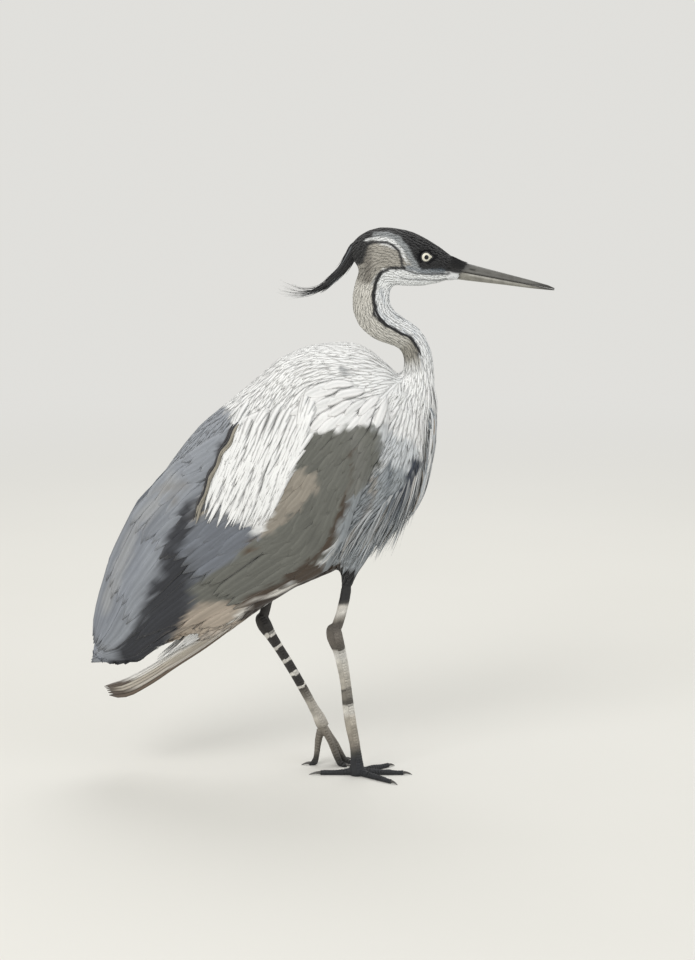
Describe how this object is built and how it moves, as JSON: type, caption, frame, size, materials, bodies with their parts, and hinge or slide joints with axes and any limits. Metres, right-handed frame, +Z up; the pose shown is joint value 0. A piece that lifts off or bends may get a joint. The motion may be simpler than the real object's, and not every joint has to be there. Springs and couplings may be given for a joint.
{
  "type": "heron",
  "caption": "Standing heron as a still life-size model: dagger bill, trailing black crest, bent neck, white back, folded grey wings, one heel lifted.",
  "frame": {"origin": "on the floor, under the middle of the whole bird's bounding box", "axes": "+X the way the bill points, +Y the bird's left side, +Z up"},
  "size_m": [0.5576, 0.1438, 0.664],
  "materials": {
    "head_feathers": "matte",
    "neck_feathers": "matte",
    "body_feathers": "matte",
    "thigh_feathers": "matte",
    "back_feathers": "matte",
    "wing_feathers": "matte",
    "rump_feathers": "matte",
    "tail_feathers": "matte",
    "crest_feathers": "matte",
    "breast_feathers": "matte",
    "bill_horn": "satin",
    "eye_gloss": "gloss",
    "leg_scales": "satin",
    "claw_horn": "satin"
  },
  "bodies": {
    "root": {"bill_lower": "bill_horn", "bill_upper": "bill_horn", "breast_plumes": "breast_feathers", "claw_left_hind": "claw_horn", "claw_left_inner": "claw_horn", "claw_left_middle": "claw_horn", "claw_left_outer": "claw_horn", "claw_right_hind": "claw_horn", "claw_right_inner": "claw_horn", "claw_right_middle": "claw_horn", "claw_right_outer": "claw_horn", "crest": "crest_feathers", "eye_left": "eye_gloss", "eye_right": "eye_gloss", "head": "head_feathers", "mantle": "back_feathers", "neck_lower": "neck_feathers", "neck_middle": "neck_feathers", "neck_upper": "neck_feathers", "rump": "rump_feathers", "shin_left": "leg_scales", "shin_right": "leg_scales", "tail": "tail_feathers", "tarsus_left": "leg_scales", "tarsus_right": "leg_scales", "thigh_left": "thigh_feathers", "thigh_right": "thigh_feathers", "toe_left_hind": "leg_scales", "toe_left_inner": "leg_scales", "toe_left_middle": "leg_scales", "toe_left_outer": "leg_scales", "toe_right_hind": "leg_scales", "toe_right_inner": "leg_scales", "toe_right_middle": "leg_scales", "toe_right_outer": "leg_scales", "trunk": "body_feathers", "wing_left": "wing_feathers", "wing_right": "wing_feathers"}
  },
  "joints": []
}
